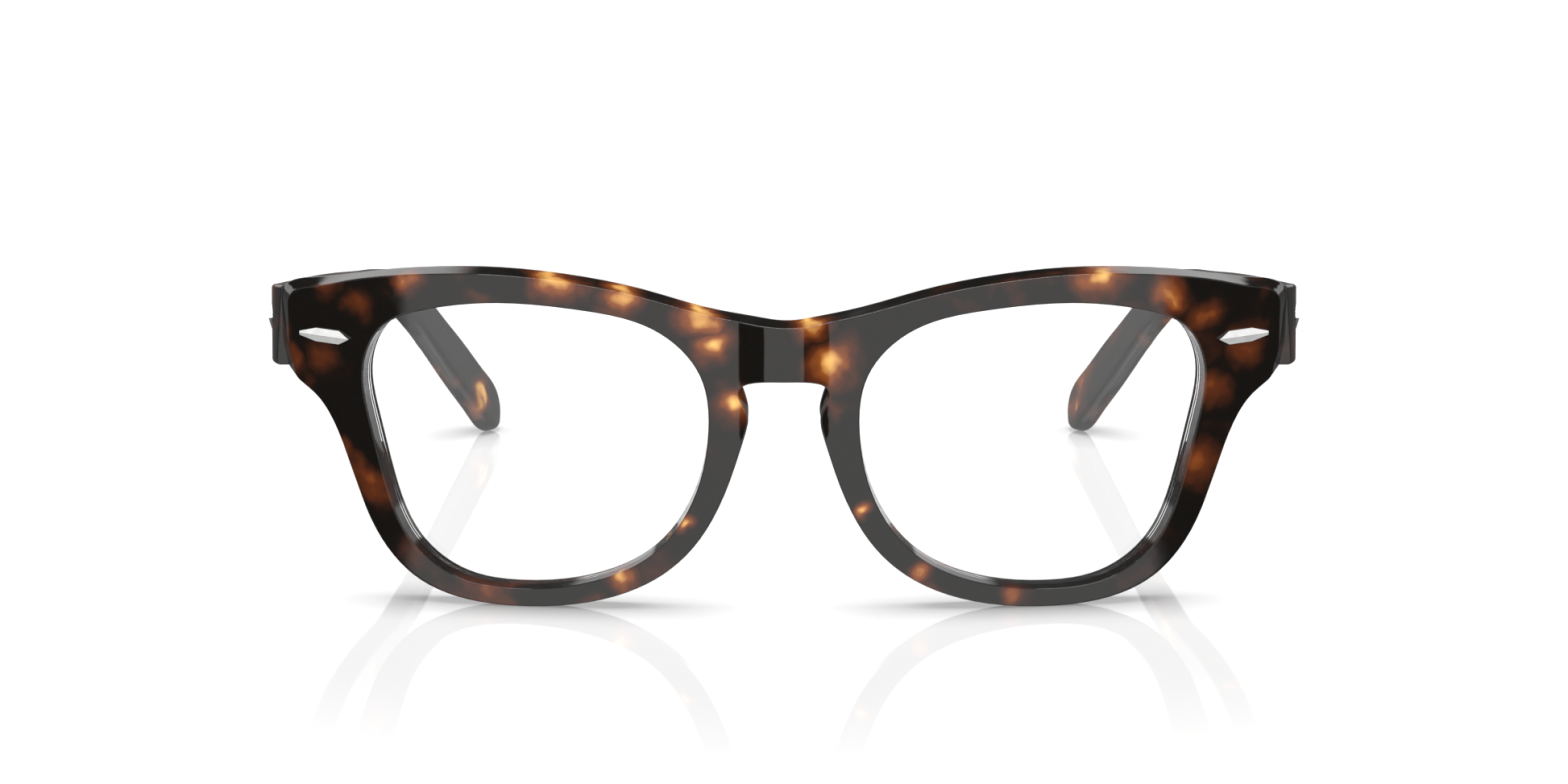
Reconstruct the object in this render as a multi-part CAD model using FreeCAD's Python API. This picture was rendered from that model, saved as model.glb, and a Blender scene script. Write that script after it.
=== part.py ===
import FreeCAD, Part
import math
import os

from FreeCAD import Vector

# Acetate spectacle frame with clear lenses. All sizes are in millimetres, angles in degrees.
# Working frame of the front: x across the face, y backward from the front of the bridge,
# z up from the bottom of the rims. The finished glasses are tipped by LEAN and stood on the floor.

# ---- overall sizes -------------------------------------------------------------------------
RIM_HEIGHT = 48.5        # height of the front, rim bottom to brow top
FRONT_HALF = 70.1        # half width of the front at its front face
FRONT_THICKNESS = 4.6
TEMPLE_LENGTH = 145.0    # along the temple, joint to tip
LEAN = 6.0               # the brow leans forward over the rims when the glasses stand

# ---- front: curve seen from above ------------------------------------------------------------
FACE_RADIUS = 180.0
BUMP_HALF = 4.5          # half width of the convex middle of the bridge
BUMP_ANGLE = 27.0        # steepest flank of the bridge bump
SIDE_FLARE = 18.0        # the side of each end piece opens outward toward the back
FLARE_REACH = 12.1       # the walls turn into the flare over this last stretch of the half width
END_PIECE = 10.1         # width of each end piece, where its back is milled flat
MILLED_OFF = 0.5         # taken off the outermost corner of the end piece's back

# ---- lenses ----------------------------------------------------------------------------------
LENS_FRONT = 2.1         # depth of the lens face behind the front face
LENS_THICKNESS = 1.5
GROOVE_DEPTH = 0.6
TONGUE_THICKNESS = 0.7
OUTLINE_PIECES = 12      # faces round the outline
OPENING_PIECES = 4
LENS_FIT = 0.04

# ---- drawing size of the outlines, which are stretched to FRONT_HALF and RIM_HEIGHT ------------
DRAWN_HALF = 70.1
DRAWN_HEIGHT = 48.5

# ---- nose pads -------------------------------------------------------------------------------
PAD_ROOT = 0.9           # the pad's full section starts this far behind the rim's back
PAD_REACH = 4.9          # how far the pad stands back from its root
PAD_FLARE = 0.2          # outward travel over that reach

# ---- hinges ----------------------------------------------------------------------------------
KNUCKLE_RADIUS = 1.5
KNUCKLE_CLEARANCE = 0.3  # between a barrel and the other leaf
KNUCKLE_SETBACK = 0.9    # from the temple's end face to the near side of the barrels
HINGE_BELOW_TEMPLE = 0.33
KNUCKLES = 7
KNUCKLE_HEIGHT = 1.0
KNUCKLE_GAP = 0.1
LEAF_THICKNESS = 0.9
FRONT_LEAF_INWARD = 6.5  # reach of the front leaf from the hinge axis towards the lens
FRONT_LEAF_OUTWARD = 1.3
FRONT_WEB = (-0.9, 1.0)  # sides of a front barrel's web, either side of the axis
FRONT_WEB_REACH = 3.6
TEMPLE_WEB_HALF = 1.1
TEMPLE_LEAF_INSET = 0.3  # depth of the temple leaf's pocket
TEMPLE_LEAF_RISE = (1.1, 6.5)   # its lower and upper edge above the foot of the hinge
TEMPLE_LEAF_TAIL = 4.2   # from the middle of the badge to the leaf's back end
SCREW_RADIUS = 0.7
SCREW_FIT = 0.05
SCREW_HEAD_RADIUS = 1.2
SCREW_HEAD_HEIGHT = 0.6
SLOT_WIDTH = 0.3
SLOT_DEPTH = 0.3

# ---- temples ---------------------------------------------------------------------------------
TEMPLE_INSET = 0.8       # inner face of the straight part, inward of the front's side
TEMPLE_THICKNESS = 4.3
TIP_THICKNESS = 3.4
JOINT_GAP = 0.1
TEMPLE_DROP = 11.43      # slope of the centre line against the front's square
TEMPLE_RISE = 0.782      # middle of the temple at the joint, as a share of the front's height
TEMPLE_HEIGHT = 11.5     # at the joint
NECK_HEIGHT = 5.4        # slimmest, just before the ear bend
PADDLE_HEIGHT = 9.6
EAR_HOOK = 48.0          # from the start of the ear bend to the tip
BEND_LENGTH = 21.0
BEND_ANGLE = 44.5
HEAD_CURVE_START = 50.0
HEAD_CURVE = 11.0        # inward angle where the ear bend starts
TIP_CURVE = 22.5         # inward angle of the tip
TIP_ROUND = 5.0          # length over which the paddle rounds off
JOINT_CORNER = 0.5       # radius of the long corners at the joint
TIP_CORNER = 1.1         # and from the ear bend on
WIRE_RADIUS = 0.65
WIRE_FIT = 0.02
WIRE_START = 15.0
WIRE_END_LEFT = 13.0     # acetate beyond the wire's end

# ---- trim ------------------------------------------------------------------------------------
PLAQUE_INWARD = 5.4      # middle of the front plaque from the front's side
PLAQUE_ABOVE_TEMPLE = 0.17
PLAQUE_TILT = 3.0        # its inner end points slightly down
PLAQUE_EAVE = 0.22       # height of its edge above the acetate
PLAQUE_RIDGE = 0.55
BADGE_BACK = 9.2         # middle of the temple badge behind the joint
BADGE_BELOW_TEMPLE = 1.0
BADGE_EAVE = 0.12
BADGE_RIDGE = 0.38
PLATE_ROOT = 1.0         # the plaques are made this much too deep and cut to the acetate
PIN_RADIUS = 0.5
PIN_FIT = 0.02
PIN_SPACING = 4.4
TAIL_RADIUS = PIN_RADIUS + 0.3    # upset tail of a pin behind the hinge leaf
TAIL_HEIGHT = 0.25
TAIL_SEAT = 0.03         # between the tail and the leaf


def sin(angle):
    return math.sin(math.radians(angle))


def cos(angle):
    return math.cos(math.radians(angle))


def tan(angle):
    return math.tan(math.radians(angle))


def ramp(value, start, length):
    """Rises from 0 to 1 over a length."""
    return min(1.0, max(0.0, (value - start) / length))


def smooth(share):
    return share * share * (3 - 2 * share)


# ---- curve of the front, seen from above ---------------------------------------------------

BUMP_RADIUS = BUMP_HALF / sin(BUMP_ANGLE)
BUMP_DEPTH = 2 * BUMP_RADIUS * (1 - cos(BUMP_ANGLE))


def face_depth(x):
    """Depth of the front face behind the bridge, at x."""
    x = abs(x)
    if x <= BUMP_HALF:
        return BUMP_RADIUS - math.sqrt(BUMP_RADIUS ** 2 - x ** 2)
    if x <= 2 * BUMP_HALF:
        left = 2 * BUMP_HALF - x
        return BUMP_DEPTH - BUMP_RADIUS + math.sqrt(BUMP_RADIUS ** 2 - left ** 2)
    return BUMP_DEPTH + FACE_RADIUS - math.sqrt(FACE_RADIUS ** 2 - (x - 2 * BUMP_HALF) ** 2)


def face_angle(x):
    """Slope of the front face at x, bump included."""
    size = abs(x)
    if size <= BUMP_HALF:
        angle = math.asin(size / BUMP_RADIUS)
    elif size <= 2 * BUMP_HALF:
        angle = math.asin((2 * BUMP_HALF - size) / BUMP_RADIUS)
    else:
        angle = math.asin((size - 2 * BUMP_HALF) / FACE_RADIUS)
    return math.copysign(math.degrees(angle), x)


# ---- places that follow from the sizes -------------------------------------------------------

JOINT_Y = face_depth(FRONT_HALF) + FRONT_THICKNESS - MILLED_OFF
TEMPLE_INNER = FRONT_HALF - TEMPLE_INSET
TEMPLE_Z = TEMPLE_RISE * RIM_HEIGHT
SIDE_AT_JOINT = FRONT_HALF + tan(SIDE_FLARE) * (JOINT_Y - face_depth(FRONT_HALF))
TEMPLE_START_THICKNESS = SIDE_AT_JOINT - TEMPLE_INNER
LEAF_PROUD = LEAF_THICKNESS - TEMPLE_LEAF_INSET
PIVOT_X = TEMPLE_INNER - LEAF_PROUD - KNUCKLE_CLEARANCE - KNUCKLE_RADIUS
PIVOT_Y = JOINT_Y + KNUCKLE_SETBACK + KNUCKLE_RADIUS
HINGE_Z = TEMPLE_Z - HINGE_BELOW_TEMPLE
PLAQUE_X = FRONT_HALF - PLAQUE_INWARD
PLAQUE_Z = TEMPLE_Z + PLAQUE_ABOVE_TEMPLE
BADGE_Y = JOINT_Y + BADGE_BACK
BADGE_Z = TEMPLE_Z - BADGE_BELOW_TEMPLE
WIRE_END = TEMPLE_LENGTH - WIRE_END_LEFT
BEND_START = TEMPLE_LENGTH - EAR_HOOK
BEND_END = BEND_START + BEND_LENGTH
NEAR_PLANE = -3.0        # the outlines' walls run from here, clear in front of the front,
FAR_PLANE = 30.0         # to here, clear behind it
CLEAR = 60.0             # longer than any cut needs


def wall_slope(x):
    """Sideways travel of the rim walls per millimetre of depth: square to the bent front,
    turning into the outward flare at the end pieces."""
    size = abs(x)
    if size <= 2 * BUMP_HALF:
        return 0.0
    slope = -tan(face_angle(size))
    if size > FRONT_HALF - FLARE_REACH:
        share = smooth(ramp(size, FRONT_HALF - FLARE_REACH, FLARE_REACH))
        slope = slope * (1 - share) + tan(SIDE_FLARE) * share
    return slope if x > 0 else -slope


def spacing(points, closed=False):
    """Running distances along a row of points."""
    looped = points + points[:1] if closed else points
    spans = [(b - a).Length for a, b in zip(looped, looped[1:])]
    return [sum(spans[:i]) for i in range(len(spans) + 1)]


def spline(points, steps, pieces=1):
    """Smooth curve through points at the given spacing, as a list of edges. One more step
    than points closes the curve."""
    curve = Part.BSplineCurve()
    curve.interpolate(Points=points, PeriodicFlag=len(steps) > len(points), Parameters=steps)
    if pieces == 1:
        return [curve.toShape()]
    spans = len(steps) - 1
    marks = [steps[round(i * spans / pieces)] for i in range(pieces + 1)]
    return [curve.toShape(a, b) for a, b in zip(marks, marks[1:])]


def plan_edge(depth):
    """Curve of the front seen from above, pushed back square to the face by depth."""
    stations = [BUMP_HALF * k / 3 for k in range(7)]
    stations += [12.0, 20.0, 35.0, 50.0, FRONT_HALF - 5, FRONT_HALF + 10]
    stations = [-x for x in reversed(stations[1:])] + stations
    points = []
    for x in stations:
        angle = face_angle(x)
        points.append(Vector(x - depth * sin(angle), face_depth(x) + depth * cos(angle), 0))
    return spline(points, spacing(points))[0]


def band(near, far):
    """Bent sheet lying between two depths behind the front face."""
    front = plan_edge(near)
    back = plan_edge(far)
    ends = []
    for i in (0, -1):
        ends.append(Part.makeLine(front.Vertexes[i].Point, back.Vertexes[i].Point))
    wire = Part.Wire(Part.__sortEdges__([front, ends[0], back, ends[1]]))
    face = Part.Face(wire)
    face.translate(Vector(0, 0, -CLEAR))
    return face.extrude(Vector(0, 0, 3 * CLEAR))


def shifted(points, depth):
    """Outline points moved to the plane y = depth along the rim walls."""
    moved = []
    for x, z in points:
        moved.append(Vector(x + wall_slope(x) * (depth - face_depth(x)), depth, z))
    return moved


def stretched(points):
    """Outline drawn at the drawing size, brought to the front's own width and height."""
    wide = FRONT_HALF / DRAWN_HALF
    tall = RIM_HEIGHT / DRAWN_HEIGHT
    return [(x * wide, z * tall) for x, z in points]


def bent_prism(points, pieces):
    """Solid with the given closed outline whose walls follow the rim walls."""
    steps = spacing([Vector(x, 0, z) for x, z in points], True)
    wires = []
    for depth in (NEAR_PLANE, FAR_PLANE):
        wires.append(Part.Wire(spline(shifted(points, depth), steps, pieces)))
    return Part.makeLoft(wires, True, True)


def outline_points():
    """Outline of the front: brow, end pieces, rims, and the keyhole under the bridge."""
    side = DRAWN_HALF
    half = [(9.0, 43.0), (19.3, 45.75), (30.5, 47.8), (41.5, DRAWN_HEIGHT), (52.0, 47.9),
            (61.5, 46.35), (67.0, 45.1), (69.2, 44.5), (side - 0.1, 43.6), (side, 42.0),
            (side, 38.0), (side - 0.15, 34.2), (side - 0.6, 32.8), (68.2, 31.95), (66.2, 30.7),
            (64.1, 27.4), (62.2, 21.9), (60.2, 15.2), (57.2, 8.5), (52.5, 3.35), (46.0, 0.7),
            (38.0, 0.0), (29.5, 0.65), (21.5, 2.9), (15.1, 6.9), (10.4, 13.0), (7.7, 19.0),
            (6.1, 24.0), (5.15, 27.4), (5.0, 28.7), (5.45, 29.9), (6.1, 30.9), (6.4, 32.0),
            (6.0, 33.0), (4.5, 33.85), (2.2, 34.25)]
    other = [(-x, z) for x, z in reversed(half)]
    return stretched([(0.0, 42.1)] + half + [(0.0, 34.3)] + other)


def opening_points(grow=0.0):
    """Lens opening on the wearer's left, grown outward by grow."""
    base = stretched([(35.8, 2.7), (27.0, 4.15), (18.8, 8.2), (13.0, 16.0), (10.6, 26.5),
                      (11.7, 34.6), (18.0, 41.15), (28.0, 43.8), (40.0, 44.45), (50.0, 43.0),
                      (56.6, 39.9), (59.4, 33.4), (58.6, 26.2), (56.6, 17.5), (53.0, 8.8),
                      (46.0, 3.65)])
    grown = []
    for i, (x, z) in enumerate(base):
        before = base[i - 1]
        after = base[(i + 1) % len(base)]
        along = Vector(after[0] - before[0], 0, after[1] - before[1]).normalize()
        grown.append((x - grow * along.z, z + grow * along.x))
    return grown


def mirror(shape):
    return shape.mirror(Vector(0, 0, 0), Vector(1, 0, 0))


def block(x, y, z):
    """Box given by its lower and upper limits on each axis."""
    box = Part.makeBox(x[1] - x[0], y[1] - y[0], z[1] - z[0])
    box.translate(Vector(x[0], y[0], z[0]))
    return box


def post(radius, low, high):
    """Upright cylinder on the hinge axis."""
    return Part.makeCylinder(radius, high - low, Vector(PIVOT_X, PIVOT_Y, low))


def moved_frame(shape, origin, right, up, out):
    """Shape drawn in its own x, y, z, set at origin with those axes along right, up and out."""
    matrix = FreeCAD.Matrix(right.x, up.x, out.x, origin.x,
                            right.y, up.y, out.y, origin.y,
                            right.z, up.z, out.z, origin.z,
                            0, 0, 0, 1)
    return shape.transformGeometry(matrix)


# ---- front -----------------------------------------------------------------------------------

def lens_groove():
    """Groove round the opening that the lens edge snaps into."""
    shape = bent_prism(opening_points(GROOVE_DEPTH), OPENING_PIECES)
    middle = LENS_FRONT + LENS_THICKNESS / 2
    half = TONGUE_THICKNESS / 2 + LENS_FIT
    return shape.common(band(middle - half, middle + half))


def front_frame():
    body = bent_prism(outline_points(), OUTLINE_PIECES).common(band(0, FRONT_THICKNESS))
    opening = bent_prism(opening_points(), OPENING_PIECES)
    body = body.cut(opening).cut(mirror(opening)).Solids[0]
    groove = lens_groove()
    body = body.cut(groove).cut(mirror(groove))
    pins = front_plaque_pins(PIN_RADIUS + PIN_FIT)
    for side in (1, -1):
        milled = sorted((side * (FRONT_HALF - END_PIECE), side * (FRONT_HALF + END_PIECE)))
        body = body.cut(block(milled, (JOINT_Y, CLEAR), (0, 2 * CLEAR)))
    for pin in pins:
        body = body.cut(pin).cut(mirror(pin))
    return body


def left_lens():
    middle = LENS_FRONT + LENS_THICKNESS / 2
    pane = bent_prism(opening_points(-LENS_FIT), OPENING_PIECES)
    pane = pane.common(band(LENS_FRONT, LENS_FRONT + LENS_THICKNESS))
    tongue = bent_prism(opening_points(GROOVE_DEPTH - LENS_FIT), OPENING_PIECES)
    tongue = tongue.common(band(middle - TONGUE_THICKNESS / 2, middle + TONGUE_THICKNESS / 2))
    return pane.fuse(tongue)


def left_nose_pad():
    """Acetate pad glued behind the rim, closing into the keyhole at its upper end."""
    base = stretched([(5.6, 31.7), (5.2, 30.4), (4.95, 29.0), (5.2, 27.0), (6.2, 23.8),
                      (7.8, 19.2), (9.2, 15.9), (10.4, 14.3), (11.4, 14.9), (11.0, 17.4),
                      (10.2, 21.4), (9.5, 25.4), (8.8, 29.0), (8.0, 31.6), (6.8, 32.6)])
    centre_x = sum(x for x, z in base) / len(base)
    centre_z = sum(z for x, z in base) / len(base)
    steps = spacing([Vector(x, 0, z) for x, z in base], True)
    root = FRONT_THICKNESS + PAD_ROOT
    wires = []
    for share, size in ((0.0, 1.0), (0.35, 0.97), (0.7, 0.86), (0.92, 0.66), (1.0, 0.4)):
        points = []
        for x, z in base:
            pad_x = centre_x + size * (x - centre_x) + PAD_FLARE * share
            pad_z = centre_z + (size + 0.3 * share * (1 - size)) * (z - centre_z)
            points.append(Vector(pad_x, root + PAD_REACH * share, pad_z))
        wires.append(Part.Wire(spline(points, steps, 3)))
    pad = Part.makeLoft(wires, True, False)
    return pad.cut(band(NEAR_PLANE, FRONT_THICKNESS))


# ---- trim ------------------------------------------------------------------------------------

def lozenge(outline, eave, ridge):
    """Long plaque in its own x (length), y (width), z (out): flat sides up to eave, then a
    roof with its ridge along the length."""
    under = PLATE_ROOT
    corners = [Vector(x, y, -under) for x, y in outline]
    prism = Part.Face(Part.makePolygon(corners + corners[:1]))
    prism = prism.extrude(Vector(0, 0, under + 2 * ridge))
    half = max(y for x, y in outline)
    length = 2 * max(abs(x) for x, y in outline)
    roof = [Vector(-length, -half, -under), Vector(-length, half, -under),
            Vector(-length, half, eave), Vector(-length, 0, ridge), Vector(-length, -half, eave)]
    roof = Part.Face(Part.makePolygon(roof + roof[:1])).extrude(Vector(2 * length, 0, 0))
    return prism.common(roof)


def plaque_axes():
    """Middle of the front plaque on the front face, and its length, width and out directions."""
    angle = face_angle(PLAQUE_X)
    along = Vector(cos(angle), sin(angle), 0)
    out = Vector(sin(angle), -cos(angle), 0)
    up = Vector(0, 0, 1)
    right = along * cos(PLAQUE_TILT) + up * sin(PLAQUE_TILT)
    up = up * cos(PLAQUE_TILT) - along * sin(PLAQUE_TILT)
    return Vector(PLAQUE_X, face_depth(PLAQUE_X), PLAQUE_Z), right, up, out


def front_plaque_pins(radius, tails=False):
    """The two pins of the front plaque, through the end piece and the hinge leaf."""
    depth = FRONT_THICKNESS + LEAF_THICKNESS
    origin, right, up, out = plaque_axes()
    pins = []
    for side in (1, -1):
        foot = origin + right * (side * PIN_SPACING / 2)
        pin = Part.makeCylinder(radius, depth + TAIL_HEIGHT, foot + out * PLAQUE_EAVE / 2, out * -1)
        if tails:
            start = foot - out * (depth + TAIL_SEAT)
            pin = pin.fuse(Part.makeCylinder(TAIL_RADIUS, TAIL_HEIGHT, start, out * -1))
        pins.append(pin)
    return pins


def left_front_plaque():
    """Plaque on the end piece; its two pins hold the hinge leaf behind."""
    outline = [(3.8, 0.3), (1.4, 1.0), (-2.1, 1.0), (-3.75, 0.0), (-2.1, -1.0), (1.4, -1.0),
               (3.8, -0.3)]
    plate = lozenge(outline, PLAQUE_EAVE, PLAQUE_RIDGE)
    plate = moved_frame(plate, *plaque_axes()).cut(band(0, FRONT_THICKNESS))
    for pin in front_plaque_pins(PIN_RADIUS, True):
        plate = plate.fuse(pin)
    return plate


# ---- hinge -----------------------------------------------------------------------------------

STACK = KNUCKLES * KNUCKLE_HEIGHT + (KNUCKLES - 1) * KNUCKLE_GAP
HINGE_LOW = HINGE_Z - STACK / 2
HINGE_HIGH = HINGE_Z + STACK / 2


def knuckle(index, web):
    """One barrel of the hinge with the web that joins it to its leaf."""
    low = HINGE_LOW + index * (KNUCKLE_HEIGHT + KNUCKLE_GAP)
    high = low + KNUCKLE_HEIGHT
    return post(KNUCKLE_RADIUS, low, high).fuse(block(web[0], web[1], (low, high)))


def left_front_leaf():
    """Leaf behind the end piece with every other barrel; the lowest one is the screw's thread."""
    leaf = band(FRONT_THICKNESS, FRONT_THICKNESS + LEAF_THICKNESS)
    wide = (PIVOT_X - FRONT_LEAF_INWARD, PIVOT_X + FRONT_LEAF_OUTWARD)
    leaf = leaf.common(block(wide, (0, CLEAR), (HINGE_LOW, HINGE_HIGH)))
    webs = None
    for index in range(0, KNUCKLES, 2):
        sides = (PIVOT_X + FRONT_WEB[0], PIVOT_X + FRONT_WEB[1])
        web = sides, (PIVOT_Y - FRONT_WEB_REACH, PIVOT_Y)
        one = knuckle(index, web)
        webs = one if webs is None else webs.fuse(one)
    leaf = leaf.fuse(webs.cut(band(NEAR_PLANE, FRONT_THICKNESS)))
    thread_top = HINGE_LOW + KNUCKLE_HEIGHT
    leaf = leaf.cut(post(SCREW_RADIUS, HINGE_LOW - 1, thread_top))
    leaf = leaf.cut(post(SCREW_RADIUS + SCREW_FIT, thread_top, HINGE_HIGH + 1))
    for pin in front_plaque_pins(PIN_RADIUS + PIN_FIT):
        leaf = leaf.cut(pin)
    return leaf


TEMPLE_LEAF = ((TEMPLE_INNER - LEAF_PROUD, TEMPLE_INNER + TEMPLE_LEAF_INSET),
               (PIVOT_Y - TEMPLE_WEB_HALF, BADGE_Y + TEMPLE_LEAF_TAIL),
               (HINGE_LOW + TEMPLE_LEAF_RISE[0], HINGE_LOW + TEMPLE_LEAF_RISE[1]))


def left_temple_leaf():
    """Leaf let into the inner face of the temple, with the barrels between the front's."""
    leaf = block(*TEMPLE_LEAF)
    for index in range(1, KNUCKLES, 2):
        web = (PIVOT_X, TEMPLE_LEAF[0][1]), (PIVOT_Y - TEMPLE_WEB_HALF, PIVOT_Y + TEMPLE_WEB_HALF)
        leaf = leaf.fuse(knuckle(index, web))
    leaf = leaf.cut(post(SCREW_RADIUS + SCREW_FIT, HINGE_LOW - 1, HINGE_HIGH + 1))
    for pin in badge_pins(PIN_RADIUS + PIN_FIT):
        leaf = leaf.cut(pin)
    return leaf


def left_hinge_screw():
    """Slotted screw down the hinge axis, its head on the top barrel."""
    top = HINGE_HIGH + SCREW_HEAD_HEIGHT
    screw = post(SCREW_RADIUS, HINGE_LOW, HINGE_HIGH).fuse(post(SCREW_HEAD_RADIUS, HINGE_HIGH, top))
    slot = block((PIVOT_X - 2 * SCREW_HEAD_RADIUS, PIVOT_X + 2 * SCREW_HEAD_RADIUS),
                 (PIVOT_Y - SLOT_WIDTH / 2, PIVOT_Y + SLOT_WIDTH / 2),
                 (top - SLOT_DEPTH, top + SLOT_DEPTH))
    return screw.cut(slot)


# ---- temples ---------------------------------------------------------------------------------

def temple_frames(stations):
    """For each distance along the temple: a point on the middle of the inner face, and the
    directions forward, down across its height, and out through its thickness."""
    step = 0.25
    point = Vector(TEMPLE_INNER, JOINT_Y + JOINT_GAP, TEMPLE_Z)
    along = Vector(0, cos(TEMPLE_DROP), -sin(TEMPLE_DROP))
    place = min(0.0, stations[0])
    point = point + along * place
    frames = []
    for station in stations:
        while True:
            bend = ramp(place, BEND_START, BEND_LENGTH)
            inward = HEAD_CURVE * ramp(place, HEAD_CURVE_START, BEND_START - HEAD_CURVE_START)
            inward += (TIP_CURVE - HEAD_CURVE) * bend
            drop = TEMPLE_DROP + BEND_ANGLE * bend
            along = Vector(-sin(inward), cos(inward) * cos(drop), -cos(inward) * sin(drop))
            if place >= station - 1e-9:
                break
            move = min(step, station - place)
            point = point + along * move
            place += move
        down = Vector(0, -sin(drop), -cos(drop))
        out = Vector(cos(inward), sin(inward) * cos(drop), -sin(inward) * sin(drop))
        frames.append((point, along, down, out))
    return frames


def temple_height(place):
    """Tapers to the neck, then widens into the paddle."""
    height = TEMPLE_HEIGHT + (NECK_HEIGHT - TEMPLE_HEIGHT) * ramp(place, 0, BEND_START)
    widen = smooth(ramp(place, BEND_START, TEMPLE_LENGTH - BEND_START - 12))
    return height + (PADDLE_HEIGHT - NECK_HEIGHT) * widen


def temple_thickness(place):
    """Flush with the front at the joint, full within a few millimetres, thinner at the tip."""
    thick = TEMPLE_START_THICKNESS
    thick += (TEMPLE_THICKNESS - TEMPLE_START_THICKNESS) * smooth(ramp(place, -3, 9))
    return thick + (TIP_THICKNESS - TEMPLE_THICKNESS) * ramp(place, BEND_START, BEND_LENGTH)


def tip_share(place):
    """The paddle rounds off over its last millimetres."""
    left = min(1.0, max(0.0, (TEMPLE_LENGTH - place) / TIP_ROUND))
    return math.sqrt(1 - (1 - left) ** 2)


def rounded_section(centre, down, out, height, thick, radius):
    """Rounded rectangle across the temple."""
    radius = min(radius, 0.42 * thick, 0.42 * height)
    edges = []
    turns = [(1, 1), (1, -1), (-1, -1), (-1, 1)]
    ends = []
    for a, b in turns:
        corner = centre + down * (a * (height / 2 - radius)) + out * (b * (thick / 2 - radius))
        on_down = corner + down * (a * radius)
        on_out = corner + out * (b * radius)
        middle = corner + (down * a + out * b) * (radius * math.sqrt(0.5))
        ends.append((on_out, middle, on_down) if a * b > 0 else (on_down, middle, on_out))
    for k, (start, middle, stop) in enumerate(ends):
        edges.append(Part.Arc(start, middle, stop).toShape())
        edges.append(Part.makeLine(stop, ends[(k + 1) % 4][0]))
    return Part.Wire(edges)


def left_temple_blank():
    """Acetate temple before the joint, the leaf's pocket and the wire's bore are cut."""
    last = TEMPLE_LENGTH
    straight = BEND_START - 25
    paddle = last - 8 - BEND_END
    stations = [-5, 0, 5, 10, 20] + [20 + straight * k / 5 for k in range(1, 6)]
    stations += [BEND_START + 3, BEND_START + 10, BEND_START + 17, BEND_END + paddle * 0.2,
                 BEND_END + paddle * 0.6, last - 8, last - 4, last - 2, last - 0.8, last - 0.15]
    wires = []
    for place, (point, along, down, out) in zip(stations, temple_frames(stations)):
        share = tip_share(place)
        height = temple_height(place) * share
        thick = temple_thickness(place)
        radius = JOINT_CORNER + (TIP_CORNER - JOINT_CORNER) * ramp(place, 20, BEND_START - 20)
        wires.append(rounded_section(point + out * (thick / 2), down, out, height,
                                     thick * (0.45 + 0.55 * share), radius))
    return Part.makeLoft(wires, True, False)


def wire_tube(radius, start, stop):
    """Round bar along the middle of the temple."""
    straight = BEND_START - 9 - start
    stations = [start + straight * k / 4 for k in range(5)]
    stations += [BEND_START, BEND_START + 7, BEND_START + 14, BEND_END, stop]
    wires = []
    for place, (point, along, down, out) in zip(stations, temple_frames(stations)):
        centre = point + out * (temple_thickness(place) / 2)
        wires.append(Part.Wire(Part.makeCircle(radius, centre, along)))
    return Part.makeLoft(wires, True, False)


def left_core_wire():
    return wire_tube(WIRE_RADIUS, WIRE_START, WIRE_END)


def badge_axes():
    """Middle of the badge on the outer face, its length running back along the temple."""
    right = Vector(0, cos(TEMPLE_DROP), -sin(TEMPLE_DROP))
    up = Vector(0, sin(TEMPLE_DROP), cos(TEMPLE_DROP))
    return Vector(TEMPLE_INNER + TEMPLE_THICKNESS, BADGE_Y, BADGE_Z), right, up, Vector(1, 0, 0)


def badge_pins(radius, tails=False):
    """The two pins of the temple badge, through the temple and its hinge leaf."""
    origin, right, up, out = badge_axes()
    depth = origin.x - TEMPLE_LEAF[0][0]
    pins = []
    for side in (1, -1):
        foot = origin + right * (side * PIN_SPACING / 2)
        pin = Part.makeCylinder(radius, depth + TAIL_HEIGHT, foot + out * BADGE_EAVE / 2, out * -1)
        if tails:
            start = foot - out * (depth + TAIL_SEAT)
            pin = pin.fuse(Part.makeCylinder(TAIL_RADIUS, TAIL_HEIGHT, start, out * -1))
        pins.append(pin)
    return pins


def left_temple(blank):
    body = blank.cut(block((0, 2 * CLEAR), (0, JOINT_Y + JOINT_GAP), (0, 2 * CLEAR)))
    body = body.cut(block(*TEMPLE_LEAF))
    body = body.cut(wire_tube(WIRE_RADIUS + WIRE_FIT, WIRE_START, WIRE_END + WIRE_FIT))
    for pin in badge_pins(PIN_RADIUS + PIN_FIT):
        body = body.cut(pin)
    return body


def left_temple_badge(blank):
    """Plain metal badge on the temple; its two pins hold the temple's hinge leaf."""
    outline = [(4.6, 0.0), (2.8, 1.7), (-2.8, 1.7), (-4.6, 0.0), (-2.8, -1.7), (2.8, -1.7)]
    badge = lozenge(outline, BADGE_EAVE, BADGE_RIDGE)
    badge = moved_frame(badge, *badge_axes()).cut(blank)
    for pin in badge_pins(PIN_RADIUS, True):
        badge = badge.fuse(pin)
    return badge


# ---- the finished glasses ------------------------------------------------------------------

def left_side_nodes():
    blank = left_temple_blank()
    return {
        "lens": left_lens(),
        "nose_pad": left_nose_pad(),
        "temple": left_temple(blank),
        "core_wire": left_core_wire(),
        "front_plaque": left_front_plaque(),
        "temple_badge": left_temple_badge(blank),
        "front_leaf": left_front_leaf(),
        "temple_leaf": left_temple_leaf(),
        "hinge_screw": left_hinge_screw(),
    }


def all_nodes():
    nodes = {"front_frame": front_frame()}
    for name, shape in left_side_nodes().items():
        nodes["left_" + name] = shape
        nodes["right_" + name] = mirror(shape)
    return nodes


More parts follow.
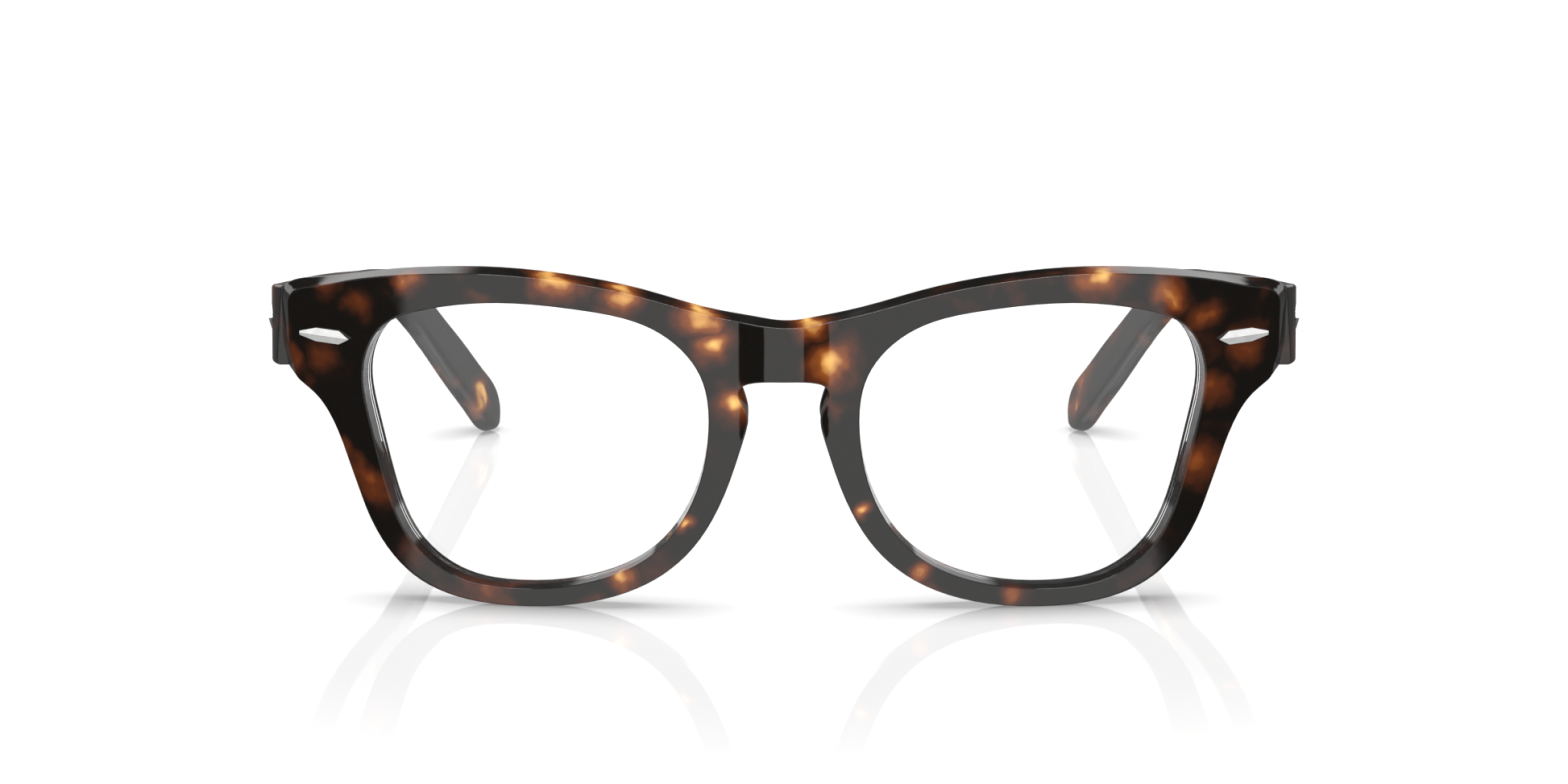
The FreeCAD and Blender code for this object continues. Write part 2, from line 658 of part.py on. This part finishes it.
def main():
    os.makedirs("parts", exist_ok=True)
    nodes = all_nodes()
    for shape in nodes.values():
        shape.rotate(Vector(0, 0, 0), Vector(1, 0, 0), LEAN)
    boxes = [shape.optimalBoundingBox(False) for shape in nodes.values()]
    front = min(box.YMin for box in boxes)
    back = max(box.YMax for box in boxes)
    low = min(box.ZMin for box in boxes)
    for name, shape in nodes.items():
        shape.translate(Vector(0, -(front + back) / 2, -low))
        shape.exportStep("parts/" + name + ".step")


main()
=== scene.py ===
from math import radians

import bpy
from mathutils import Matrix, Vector


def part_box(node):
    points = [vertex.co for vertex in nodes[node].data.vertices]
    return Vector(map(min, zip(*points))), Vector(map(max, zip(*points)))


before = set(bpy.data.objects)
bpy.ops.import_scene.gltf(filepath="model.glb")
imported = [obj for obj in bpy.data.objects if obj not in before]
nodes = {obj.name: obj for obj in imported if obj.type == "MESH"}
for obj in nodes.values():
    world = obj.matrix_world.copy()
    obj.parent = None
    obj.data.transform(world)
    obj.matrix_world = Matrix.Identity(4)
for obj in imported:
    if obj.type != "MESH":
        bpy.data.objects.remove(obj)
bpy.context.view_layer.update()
scene = bpy.context.scene
MM = 0.001

# The front's box in metres: half its width, its top above the floor and its foremost point.
FRONT_LOW, FRONT_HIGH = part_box("front_frame")
HALF_WIDTH = FRONT_HIGH[0]
HEIGHT = FRONT_HIGH[2]
FACE_Y = FRONT_LOW[1]

# Camera: focal length and sensor in mm, place and nearest distance in metres, and the angle that it looks
# down by, in degrees.
CAMERA_LENS = 100.0
CAMERA_SENSOR = 36.0
CAMERA_PLACE = (0.0, -0.6698, 0.1390)
CAMERA_NEAREST = 0.01
CAMERA_DOWN = 10.15

# Floor, with lengths in metres. It mirrors fully up to MIRROR_FULL from the middle and no more past
# MIRROR_GONE. A contact shadow is painted into its glow: the glow drops to PAINTED_SHADOW_LEVEL where the
# space within PAINTED_SHADOW_REACH is open only by PAINTED_SHADOW_OPENNESS.
FLOOR_REACH = 4.0
FLOOR_DROP = 0.02 * MM
FLOOR_GREY = 0.16
FLOOR_ROUGHNESS = 0.03
FLOOR_IOR = 1.45
MIRROR_FULL = 0.11
MIRROR_GONE = 0.22
MIRROR_LEVEL = 0.24
GLOW_MIRRORED = 0.73
GLOW_FAR = 1.02
PAINTED_SHADOW_REACH = 12.0 * MM
PAINTED_SHADOW_OPENNESS = 0.45
PAINTED_SHADOW_LEVEL = 0.30
PAINTED_SHADOW_SAMPLES = 24

# The studio's panels. Turn is measured from the camera's side, the same to left and right, and rise from
# level, both in degrees. Each panel has its turn from and to, its rise from and to, its brightness and its
# edge softness.
STUDIO_BASE = 0.03
STUDIO_PANELS = (
    (-5, 35, -95, 0, 1.75, 1.0),
    (-5, 80, 4, 55, 1.4, 4.0),
    (35, 80, -95, -44, 0.8, 3.0),
    (98, 185, 4, 19, 1.15, 1.0),
    (98, 185, -95, 4, 0.13, 1.0),
)

# The radius that edges look rounded by.
ACETATE_EDGE = 0.38 * MM
METAL_EDGE = 0.08 * MM
EDGE_SAMPLES = 6

# Tortoiseshell: how fine each noise is, per metre, how far the warp moves the clouds, and what the noises do.
WARP_SCALE = 190.0
WARP_REACH = 5.0 * MM
MOTTLE_SCALE = 125.0
PATCH_SCALE = 34.0
PATCH_NOISE = (0.36, 0.60)
PATCH_LEVEL = (0.45, 1.15)
GRAIN_SCALE = 900.0
GRAIN_LEVEL = 0.035
WEAR_SCALE = 260.0
WEAR_ROUGHNESS = (0.035, 0.075)
POLISH_SCALE = 420.0
POLISH_DEPTH = 0.02 * MM
POLISH_STRENGTH = 0.10
ACETATE_IOR = 1.5

# Where the larger amber clouds of the front sit: across from the middle as a share of the half width,
# up as a share of the height, and the radius in mm.
CLOUDS = (
    (-0.91, 0.95, 2.6), (-0.84, 0.89, 2.4), (-0.735, 0.965, 2.2), (-0.91, 0.72, 2.9), (-0.45, 0.985, 3.3),
    (-0.315, 0.93, 3.0), (-0.165, 0.88, 2.9), (-0.14, 0.79, 3.0), (-0.10, 0.62, 2.8), (-0.73, 0.16, 2.5),
    (-0.585, 0.035, 2.6), (-0.32, 0.09, 2.5), (-0.19, 0.25, 1.3), (0.045, 0.86, 2.6), (0.095, 0.74, 3.4),
    (0.62, 0.99, 3.8), (0.76, 0.92, 2.8), (0.83, 0.86, 2.6), (0.92, 0.76, 3.3), (0.845, 0.65, 3.0),
    (0.825, 0.41, 3.6), (0.27, 0.10, 1.8), (0.46, 0.03, 2.2), (0.16, 0.30, 1.1),
)
CLOUD_DEPTH = 4.0 * MM
CLOUD_DEPTH_SHARE = 0.35
CLOUD_SPREAD = 1.6
CLOUD_LEVEL = 0.96

# Metal: the brushed grain runs across the height, over faint darker spots.
METAL_STRETCH = (1.0, 1.0, 9.0)
METAL_SPOT_SCALE = 700.0
METAL_SPOT_SHADE = 0.86
METAL_GRAIN_STRENGTH = 0.25

# Lens.
SMUDGE_SCALE = 60.0
SMUDGE_ROUGHNESS = 0.012
LENS_IOR = 1.5


class Graph:
    """A small helper that adds nodes to one node tree."""

    def __init__(self, tree):
        self.tree = tree
        self.tree.nodes.clear()

    def add(self, kind, **settings):
        node = self.tree.nodes.new(kind)
        for name, value in settings.items():
            setattr(node, name, value)
        return node

    def link(self, source, target):
        self.tree.links.new(source, target)

    def put(self, socket, value):
        """Sets a socket to a constant, or links it to another socket."""
        if isinstance(value, bpy.types.NodeSocket):
            self.link(value, socket)
        else:
            socket.default_value = value

    def math(self, operation, a, b=0.0):
        node = self.add("ShaderNodeMath", operation=operation)
        self.put(node.inputs[0], a)
        self.put(node.inputs[1], b)
        return node.outputs[0]

    def vector(self, operation, a, b=(0.0, 0.0, 0.0)):
        node = self.add("ShaderNodeVectorMath", operation=operation)
        self.put(node.inputs[0], a)
        self.put(node.inputs[1], b)
        return node.outputs["Value" if operation == "LENGTH" else "Vector"]

    def scale(self, a, factor):
        node = self.add("ShaderNodeVectorMath", operation="SCALE")
        self.put(node.inputs[0], a)
        self.put(node.inputs["Scale"], factor)
        return node.outputs["Vector"]

    def noise(self, where, scale, detail=2.0, roughness=0.5):
        node = self.add("ShaderNodeTexNoise")
        self.put(node.inputs["Vector"], where)
        node.inputs["Scale"].default_value = scale
        node.inputs["Detail"].default_value = detail
        node.inputs["Roughness"].default_value = roughness
        return node

    def remap(self, value, low, high, to_low=0.0, to_high=1.0, smooth=True):
        node = self.add("ShaderNodeMapRange")
        node.interpolation_type = "SMOOTHSTEP" if smooth else "LINEAR"
        self.put(node.inputs["Value"], value)
        node.inputs["From Min"].default_value = low
        node.inputs["From Max"].default_value = high
        node.inputs["To Min"].default_value = to_low
        node.inputs["To Max"].default_value = to_high
        return node.outputs["Result"]

    def ramp(self, value, stops):
        node = self.add("ShaderNodeValToRGB")
        self.put(node.inputs["Fac"], value)
        elements = node.color_ramp.elements
        while len(elements) < len(stops):
            elements.new(0.5)
        for element, (place, colour) in zip(elements, stops):
            element.position = place
            element.color = (*colour, 1.0)
        return node.outputs["Color"]

    def bump(self, height, strength, distance, edge):
        """Surface relief over edges that look rounded by the radius edge."""
        rounded = self.add("ShaderNodeBevel", samples=EDGE_SAMPLES)
        rounded.inputs["Radius"].default_value = edge
        node = self.add("ShaderNodeBump")
        self.put(node.inputs["Height"], height)
        node.inputs["Strength"].default_value = strength
        node.inputs["Distance"].default_value = distance
        self.link(rounded.outputs["Normal"], node.inputs["Normal"])
        return node.outputs["Normal"]


def new_material(name):
    material = bpy.data.materials.new(name)
    material.use_nodes = True
    graph = Graph(material.node_tree)
    shader = graph.add("ShaderNodeBsdfPrincipled")
    output = graph.add("ShaderNodeOutputMaterial")
    graph.link(shader.outputs["BSDF"], output.inputs["Surface"])
    return material, graph, shader


def tone(red, green, blue):
    """A colour given on the 0-255 display scale, as the linear values that Blender takes."""
    def linear(part):
        part /= 255.0
        return part / 12.92 if part <= 0.04045 else ((part + 0.055) / 1.055) ** 2.4
    return tuple(linear(part) for part in (red, green, blue))


def with_clouds(graph, field, here, clouds):
    """The field, raised to a glow round each of the listed clouds."""
    for across, up, radius in clouds:
        centre = (across * HALF_WIDTH, FACE_Y + CLOUD_DEPTH, up * HEIGHT)
        flat = graph.vector("MULTIPLY", graph.vector("SUBTRACT", here, centre), (1.0, CLOUD_DEPTH_SHARE, 1.0))
        away = graph.vector("LENGTH", flat)
        glow = graph.remap(away, 0.0, CLOUD_SPREAD * radius * MM, CLOUD_LEVEL, 0.0, smooth=False)
        field = graph.math("MAXIMUM", field, glow)
    return field


def acetate(name, clouds, shift, sparse, full):
    """Polished tortoiseshell acetate: near-black brown with nested red-brown and amber clouds in its depth.

    The shift picks a place in the noise. Mottling starts where the noise passes sparse and is amber at full.
    """
    material, graph, shader = new_material(name)
    place = graph.add("ShaderNodeTexCoord").outputs["Object"]
    moved = graph.vector("ADD", place, shift)
    warp_noise = graph.noise(moved, WARP_SCALE)
    warp = graph.scale(graph.vector("SUBTRACT", warp_noise.outputs["Color"], (0.5, 0.5, 0.5)), WARP_REACH)
    warped = graph.vector("ADD", moved, warp)
    mottle = graph.noise(warped, MOTTLE_SCALE, detail=1.6, roughness=0.45)
    field = graph.remap(mottle.outputs["Fac"], sparse, full, smooth=False)
    patches = graph.noise(moved, PATCH_SCALE, detail=1.0)
    field = graph.math("MULTIPLY", field, graph.remap(patches.outputs["Fac"], *PATCH_NOISE, *PATCH_LEVEL))
    if clouds:
        field = with_clouds(graph, field, graph.vector("ADD", place, warp), clouds)
    grain = graph.noise(moved, GRAIN_SCALE, detail=3.0)
    field = graph.math("ADD", field,
                       graph.remap(grain.outputs["Fac"], 0.2, 0.8, -GRAIN_LEVEL, GRAIN_LEVEL, smooth=False))
    colour = graph.ramp(field, (
        (0.00, tone(15, 13, 11)),
        (0.12, tone(20, 14, 11)),
        (0.26, tone(42, 22, 14)),
        (0.44, tone(72, 34, 17)),
        (0.62, tone(118, 62, 26)),
        (0.88, tone(218, 166, 92)),
    ))
    graph.link(colour, shader.inputs["Base Color"])
    wear = graph.noise(place, WEAR_SCALE, detail=4.0)
    graph.link(graph.remap(wear.outputs["Fac"], 0.3, 0.7, *WEAR_ROUGHNESS, smooth=False),
               shader.inputs["Roughness"])
    polish = graph.noise(place, POLISH_SCALE, detail=1.0)
    graph.link(graph.bump(polish.outputs["Fac"], POLISH_STRENGTH, POLISH_DEPTH, ACETATE_EDGE),
               shader.inputs["Normal"])
    shader.inputs["IOR"].default_value = ACETATE_IOR
    return material


def metal(name, colour, rough, grain, depth):
    """A polished or lightly brushed metal: roughness from and to, grain per metre and its depth in mm."""
    material, graph, shader = new_material(name)
    place = graph.add("ShaderNodeTexCoord").outputs["Object"]
    streaks = graph.noise(graph.vector("MULTIPLY", place, METAL_STRETCH), grain, detail=4.0, roughness=0.6)
    spots = graph.noise(place, METAL_SPOT_SCALE, detail=3.0)
    darker = tuple(part * METAL_SPOT_SHADE for part in colour)
    graph.link(graph.ramp(spots.outputs["Fac"], ((0.3, darker), (0.7, colour))),
               shader.inputs["Base Color"])
    graph.link(graph.remap(streaks.outputs["Fac"], 0.3, 0.7, *rough, smooth=False),
               shader.inputs["Roughness"])
    graph.link(graph.bump(streaks.outputs["Fac"], METAL_GRAIN_STRENGTH, depth * MM, METAL_EDGE),
               shader.inputs["Normal"])
    shader.inputs["Metallic"].default_value = 1.0
    return material


def clear_lens(name):
    """Clear demo lens: polished, with the faintest unevenness in its surface."""
    material, graph, shader = new_material(name)
    place = graph.add("ShaderNodeTexCoord").outputs["Object"]
    smudge = graph.noise(place, SMUDGE_SCALE, detail=3.0)
    graph.link(graph.remap(smudge.outputs["Fac"], 0.35, 0.75, 0.0, SMUDGE_ROUGHNESS),
               shader.inputs["Roughness"])
    tint = graph.ramp(smudge.outputs["Fac"], ((0.3, (0.985, 0.99, 0.99)), (0.7, (1.0, 1.0, 1.0))))
    graph.link(tint, shader.inputs["Base Color"])
    shader.inputs["Transmission Weight"].default_value = 1.0
    shader.inputs["IOR"].default_value = LENS_IOR
    return material


def finish_nodes():
    """Gives each node its finish: by its slot, or as front or temple acetate."""
    shell_front = acetate("tortoise_front", CLOUDS, shift=(0.031, 0.012, 0.0475), sparse=0.50, full=0.98)
    shell_temple = acetate("tortoise_temple", (), shift=(0.213, 0.118, -0.074), sparse=0.47, full=0.80)
    by_slot = {
        "silver_trim": metal("silver_satin", (0.86, 0.86, 0.85), (0.10, 0.20), grain=2600.0, depth=0.004),
        "hinge_metal": metal("hinge_steel", (0.62, 0.61, 0.59), (0.22, 0.38), grain=1800.0, depth=0.010),
        "screw_metal": metal("screw_steel", (0.70, 0.70, 0.71), (0.16, 0.28), grain=2400.0, depth=0.006),
        "wire_metal": metal("core_wire", (0.66, 0.64, 0.60), (0.25, 0.40), grain=1500.0, depth=0.010),
        "lens": clear_lens("clear_lens"),
    }
    for name, piece in nodes.items():
        slot = piece.data.materials[0].name.split(".")[0]
        finish = by_slot.get(slot)
        if finish is None:
            finish = shell_temple if name.endswith("temple") else shell_front
        for material_slot in piece.material_slots:
            material_slot.link = "OBJECT"
            material_slot.material = finish


def panel(graph, turn, rise, turn_low, turn_high, rise_low, rise_high, level, soft):
    """The brightness of one studio panel in the direction given by turn and rise."""
    share = graph.math("MULTIPLY",
                       graph.remap(turn, radians(turn_low - soft), radians(turn_low + soft)),
                       graph.remap(turn, radians(turn_high - soft), radians(turn_high + soft), 1.0, 0.0))
    share = graph.math("MULTIPLY", share,
                       graph.remap(rise, radians(rise_low - soft), radians(rise_low + soft)))
    share = graph.math("MULTIPLY", share,
                       graph.remap(rise, radians(rise_high - soft), radians(rise_high + soft), 1.0, 0.0))
    return graph.math("MULTIPLY", share, level)


def studio_world():
    """The soft studio around the object, as a pattern of broad panels seen in the gloss."""
    world = bpy.data.worlds.new("studio")
    scene.world = world
    world.use_nodes = True
    graph = Graph(world.node_tree)
    way = graph.add("ShaderNodeTexCoord").outputs["Generated"]
    parts = graph.add("ShaderNodeSeparateXYZ")
    graph.link(way, parts.inputs[0])
    x, y, z = parts.outputs
    turn = graph.math("ABSOLUTE", graph.math("ARCTAN2", x, graph.math("MULTIPLY", y, -1.0)))
    rise = graph.math("ARCSINE", z)
    level = STUDIO_BASE
    for piece in STUDIO_PANELS:
        level = graph.math("ADD", level, panel(graph, turn, rise, *piece))
    background = graph.add("ShaderNodeBackground")
    graph.link(level, background.inputs["Strength"])
    output = graph.add("ShaderNodeOutputWorld")
    graph.link(background.outputs[0], output.inputs["Surface"])


def stage_floor():
    """A pale floor that glows, with a contact shadow painted into its glow where the object touches it, and
    that mirrors less away from it.
    """
    mesh = bpy.data.meshes.new("floor")
    corners = [(-FLOOR_REACH, -FLOOR_REACH, 0), (FLOOR_REACH, -FLOOR_REACH, 0),
               (FLOOR_REACH, FLOOR_REACH, 0), (-FLOOR_REACH, FLOOR_REACH, 0)]
    mesh.from_pydata(corners, [], [(0, 1, 2, 3)])
    floor = bpy.data.objects.new("floor", mesh)
    scene.collection.objects.link(floor)
    floor.location.z = -FLOOR_DROP
    material, graph, shader = new_material("floor")
    place = graph.add("ShaderNodeTexCoord").outputs["Object"]
    # Painted contact shadow: the glow is darkened where the object closes in the space just above the floor.
    painted_shadow_occlusion = graph.add("ShaderNodeAmbientOcclusion", samples=PAINTED_SHADOW_SAMPLES)
    painted_shadow_occlusion.inputs["Distance"].default_value = PAINTED_SHADOW_REACH
    painted_contact_shadow = graph.remap(painted_shadow_occlusion.outputs["AO"], PAINTED_SHADOW_OPENNESS, 1.0, PAINTED_SHADOW_LEVEL, 1.0, smooth=False)
    shader.inputs["Base Color"].default_value = (FLOOR_GREY, FLOOR_GREY, FLOOR_GREY, 1.0)
    shader.inputs["Emission Color"].default_value = (1.0, 1.0, 1.0, 1.0)
    fade = graph.remap(graph.vector("LENGTH", place), MIRROR_FULL, MIRROR_GONE, 1.0, 0.0)
    # The glow carries the painted contact shadow, and is lower where the floor mirrors.
    lit = graph.math("MULTIPLY", painted_contact_shadow, graph.remap(fade, 0.0, 1.0, GLOW_FAR, GLOW_MIRRORED, smooth=False))
    graph.link(lit, shader.inputs["Emission Strength"])
    graph.link(graph.math("MULTIPLY", fade, MIRROR_LEVEL), shader.inputs["Specular IOR Level"])
    shader.inputs["Roughness"].default_value = FLOOR_ROUGHNESS
    shader.inputs["IOR"].default_value = FLOOR_IOR
    mesh.materials.append(material)
    floor.visible_glossy = False


def area_light(name, place, target, size, power, glossy=True, only=None):
    """A rectangular light in metres and watts, which reaches everything or only one collection."""
    light = bpy.data.lights.new(name, "AREA")
    light.shape = "RECTANGLE"
    light.size, light.size_y = size
    light.energy = power
    lamp = bpy.data.objects.new(name, light)
    scene.collection.objects.link(lamp)
    lamp.location = place
    lamp.rotation_euler = (Vector(target) - Vector(place)).to_track_quat("-Z", "Y").to_euler()
    lamp.visible_camera = False
    lamp.visible_glossy = glossy
    if only is not None:
        lamp.light_linking.receiver_collection = only


def lights():
    lit = bpy.data.collections.new("lit_by_fill")
    for piece in nodes.values():
        lit.objects.link(piece)
    area_light("top_softbox", place=(0.0, -0.05, 0.9), target=(0.0, 0.0, 0.0), size=(0.55, 0.35), power=9.0)
    area_light("front_fill", place=(0.0, -0.85, 0.45), target=(0.0, 0.0, 0.03), size=(0.4, 0.3), power=8.0,
               glossy=False, only=lit)


def camera():
    data = bpy.data.cameras.new("camera")
    data.lens = CAMERA_LENS
    data.sensor_width = CAMERA_SENSOR
    data.clip_start = CAMERA_NEAREST
    eye = bpy.data.objects.new("camera", data)
    scene.collection.objects.link(eye)
    eye.location = CAMERA_PLACE
    eye.rotation_euler = (radians(90.0 - CAMERA_DOWN), 0.0, 0.0)
    scene.camera = eye


finish_nodes()
studio_world()
stage_floor()
lights()
camera()
scene.view_settings.view_transform = "Standard"
